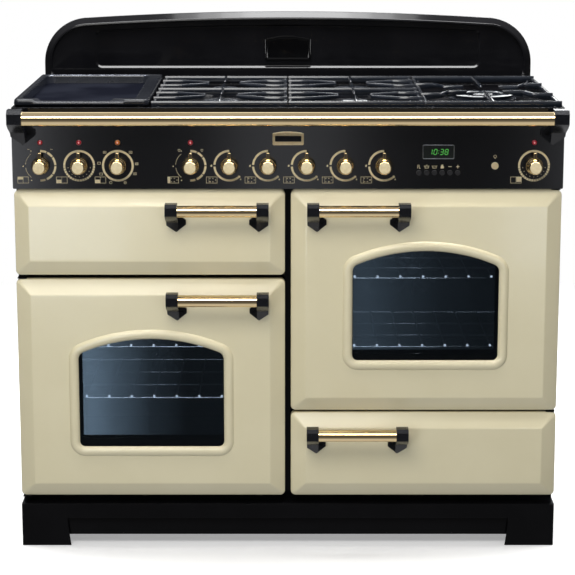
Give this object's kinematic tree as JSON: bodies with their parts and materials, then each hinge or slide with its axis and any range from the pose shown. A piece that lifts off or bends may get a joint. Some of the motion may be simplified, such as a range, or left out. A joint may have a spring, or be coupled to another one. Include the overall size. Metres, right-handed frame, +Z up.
{
  "type": "dual fuel range cooker",
  "caption": "Free-standing range cooker with side-hung arched-window oven doors, glide-out grill, storage drawer, gas burners, griddle, front rail and splashback.",
  "frame": {"origin": "centre of the footprint's bounding box, on the floor", "axes": "+Z up, the front faces -Y, +X to the right as seen from the front"},
  "size_m": [1.092, 0.676, 1.051],
  "materials": {
    "black_enamel": "gloss vitreous enamel",
    "cream_enamel": "gloss cream enamel",
    "oven_enamel": "dark speckled enamel",
    "brass": "polished, lacquered",
    "tap_brass": "as cast",
    "cast_iron": "matt black enamelled",
    "griddle_aluminium": "dark non-stick coating",
    "galvanised": "galvanised sheet",
    "chrome_wire": "bright chrome",
    "dark_steel": "heat-darkened sheath",
    "fan_steel": "plain",
    "seal_rubber": "matt",
    "oven_glass": "tinted clear",
    "display_black": "gloss black window",
    "lamp_red": "clear red lens",
    "button_plastic": "satin black"
  },
  "bodies": {
    "cabinet": {"base_frame": "galvanised", "side_panels": "black_enamel", "back_panel": "galvanised", "plinth": "black_enamel", "facia_frame": "black_enamel", "control_panel": "black_enamel", "clock_display": "display_black", "indicator_lamps": "lamp_red", "handrail": "brass", "hotplate": "black_enamel", "burners": "cast_iron", "splashback": "black_enamel", "oven_liners": "oven_enamel", "shelf_racks": "chrome_wire", "door_seals": "seal_rubber", "elements_and_motors": "dark_steel", "taps_and_switches": "tap_brass", "levelling_feet": "galvanised"},
    "left_door": {"left_door_skin": "cream_enamel", "left_door_glass": "oven_glass", "left_door_liner": "oven_enamel", "left_door_handle": "brass"},
    "right_door": {"right_door_skin": "cream_enamel", "right_door_glass": "oven_glass", "right_door_liner": "oven_enamel", "right_door_handle": "brass"},
    "grill": {"grill_front": "cream_enamel", "grill_handle": "brass", "grill_carriage": "galvanised", "grill_pan": "oven_enamel"},
    "drawer": {"drawer_front": "cream_enamel", "drawer_handle": "brass", "drawer_box": "galvanised"},
    "left_upper_shelf": {"left_upper_shelf": "chrome_wire"},
    "left_lower_shelf": {"left_lower_shelf": "chrome_wire"},
    "right_upper_shelf": {"right_upper_shelf": "chrome_wire"},
    "right_lower_shelf": {"right_lower_shelf": "chrome_wire"},
    "left_fan": {"left_fan": "fan_steel"},
    "right_fan": {"right_fan": "fan_steel"},
    "griddle": {"griddle": "griddle_aluminium"},
    "pan_support_left": {"pan_support_left": "cast_iron"},
    "pan_support_middle": {"pan_support_middle": "cast_iron"},
    "pan_support_right": {"pan_support_right": "cast_iron"},
    "knob_grill": {"knob_grill": "brass"},
    "knob_left_heat": {"knob_left_heat": "brass"},
    "knob_left_mode": {"knob_left_mode": "brass"},
    "knob_griddle": {"knob_griddle": "brass"},
    "knob_burner_1": {"knob_burner_1": "brass"},
    "knob_burner_2": {"knob_burner_2": "brass"},
    "knob_burner_3": {"knob_burner_3": "brass"},
    "knob_burner_4": {"knob_burner_4": "brass"},
    "knob_burner_5": {"knob_burner_5": "brass"},
    "knob_right_heat": {"knob_right_heat": "brass"},
    "light_button": {"light_button": "brass"},
    "timer_button_1": {"timer_button_1": "button_plastic"},
    "timer_button_2": {"timer_button_2": "button_plastic"},
    "timer_button_3": {"timer_button_3": "button_plastic"},
    "timer_button_4": {"timer_button_4": "button_plastic"},
    "timer_button_5": {"timer_button_5": "button_plastic"},
    "timer_button_6": {"timer_button_6": "button_plastic"}
  },
  "joints": [
    {"name": "left_door_hinge", "type": "hinge", "parent": "cabinet", "child": "left_door", "pos_m": [-0.534, -0.245, 0.33225], "axis": [0, 0, -1], "range_deg": [0, 105]},
    {"name": "right_door_hinge", "type": "hinge", "parent": "cabinet", "child": "right_door", "pos_m": [0.534, -0.245, 0.51235], "axis": [0, 0, 1], "range_deg": [0, 105]},
    {"name": "grill_slide", "type": "slide", "parent": "cabinet", "child": "grill", "axis": [0, -1, 0], "range_m": [0, 0.3]},
    {"name": "drawer_slide", "type": "slide", "parent": "cabinet", "child": "drawer", "axis": [0, -1, 0], "range_m": [0, 0.38]},
    {"name": "left_upper_shelf_slide", "type": "slide", "parent": "cabinet", "child": "left_upper_shelf", "axis": [0, -1, 0], "range_m": [0, 0.022]},
    {"name": "left_lower_shelf_slide", "type": "slide", "parent": "cabinet", "child": "left_lower_shelf", "axis": [0, -1, 0], "range_m": [0, 0.022]},
    {"name": "right_upper_shelf_slide", "type": "slide", "parent": "cabinet", "child": "right_upper_shelf", "axis": [0, -1, 0], "range_m": [0, 0.022]},
    {"name": "right_lower_shelf_slide", "type": "slide", "parent": "cabinet", "child": "right_lower_shelf", "axis": [0, -1, 0], "range_m": [0, 0.022]},
    {"name": "left_fan_spin", "type": "hinge", "parent": "cabinet", "child": "left_fan", "pos_m": [-0.2759, 0.1883, 0.3162], "axis": [0, -1, 0], "continuous": true},
    {"name": "right_fan_spin", "type": "hinge", "parent": "cabinet", "child": "right_fan", "pos_m": [0.2759, 0.1883, 0.4963], "axis": [0, -1, 0], "continuous": true},
    {"name": "griddle_lift", "type": "slide", "parent": "cabinet", "child": "griddle", "axis": [0, 0, 1], "range_m": [0, 0.15]},
    {"name": "pan_support_left_lift", "type": "slide", "parent": "cabinet", "child": "pan_support_left", "axis": [0, 0, 1], "range_m": [0, 0.15]},
    {"name": "pan_support_middle_lift", "type": "slide", "parent": "cabinet", "child": "pan_support_middle", "axis": [0, 0, 1], "range_m": [0, 0.15]},
    {"name": "pan_support_right_lift", "type": "slide", "parent": "cabinet", "child": "pan_support_right", "axis": [0, 0, 1], "range_m": [0, 0.15]},
    {"name": "knob_grill_turn", "type": "hinge", "parent": "cabinet", "child": "knob_grill", "pos_m": [-0.49, -0.283, 0.79], "axis": [0, -1, 0], "range_deg": [-180, 0]},
    {"name": "knob_left_heat_turn", "type": "hinge", "parent": "cabinet", "child": "knob_left_heat", "pos_m": [-0.4134, -0.283, 0.79], "axis": [0, -1, 0], "range_deg": [-290, 0]},
    {"name": "knob_left_mode_turn", "type": "hinge", "parent": "cabinet", "child": "knob_left_mode", "pos_m": [-0.33679, -0.283, 0.79], "axis": [0, -1, 0], "continuous": true},
    {"name": "knob_griddle_turn", "type": "hinge", "parent": "cabinet", "child": "knob_griddle", "pos_m": [-0.19268, -0.283, 0.79], "axis": [0, -1, 0], "range_deg": [-270, 0]},
    {"name": "knob_burner_1_turn", "type": "hinge", "parent": "cabinet", "child": "knob_burner_1", "pos_m": [-0.11608, -0.283, 0.79], "axis": [0, -1, 0], "range_deg": [0, 240]},
    {"name": "knob_burner_2_turn", "type": "hinge", "parent": "cabinet", "child": "knob_burner_2", "pos_m": [-0.03948, -0.283, 0.79], "axis": [0, -1, 0], "range_deg": [0, 240]},
    {"name": "knob_burner_3_turn", "type": "hinge", "parent": "cabinet", "child": "knob_burner_3", "pos_m": [0.03713, -0.283, 0.79], "axis": [0, -1, 0], "range_deg": [0, 240]},
    {"name": "knob_burner_4_turn", "type": "hinge", "parent": "cabinet", "child": "knob_burner_4", "pos_m": [0.11373, -0.283, 0.79], "axis": [0, -1, 0], "range_deg": [0, 240]},
    {"name": "knob_burner_5_turn", "type": "hinge", "parent": "cabinet", "child": "knob_burner_5", "pos_m": [0.19034, -0.283, 0.79], "axis": [0, -1, 0], "range_deg": [0, 240]},
    {"name": "knob_right_heat_turn", "type": "hinge", "parent": "cabinet", "child": "knob_right_heat", "pos_m": [0.4873, -0.283, 0.79], "axis": [0, -1, 0], "range_deg": [-290, 0]},
    {"name": "light_button_push", "type": "slide", "parent": "cabinet", "child": "light_button", "axis": [0, 1, 0], "range_m": [0, 0.0015], "stiffness_N_per_m": 400, "springref_m": -0.0015},
    {"name": "timer_button_1_push", "type": "slide", "parent": "cabinet", "child": "timer_button_1", "axis": [0, 1, 0], "range_m": [0, 0.0015], "stiffness_N_per_m": 400, "springref_m": -0.0015},
    {"name": "timer_button_2_push", "type": "slide", "parent": "cabinet", "child": "timer_button_2", "axis": [0, 1, 0], "range_m": [0, 0.0015], "stiffness_N_per_m": 400, "springref_m": -0.0015},
    {"name": "timer_button_3_push", "type": "slide", "parent": "cabinet", "child": "timer_button_3", "axis": [0, 1, 0], "range_m": [0, 0.0015], "stiffness_N_per_m": 400, "springref_m": -0.0015},
    {"name": "timer_button_4_push", "type": "slide", "parent": "cabinet", "child": "timer_button_4", "axis": [0, 1, 0], "range_m": [0, 0.0015], "stiffness_N_per_m": 400, "springref_m": -0.0015},
    {"name": "timer_button_5_push", "type": "slide", "parent": "cabinet", "child": "timer_button_5", "axis": [0, 1, 0], "range_m": [0, 0.0015], "stiffness_N_per_m": 400, "springref_m": -0.0015},
    {"name": "timer_button_6_push", "type": "slide", "parent": "cabinet", "child": "timer_button_6", "axis": [0, 1, 0], "range_m": [0, 0.0015], "stiffness_N_per_m": 400, "springref_m": -0.0015}
  ]
}
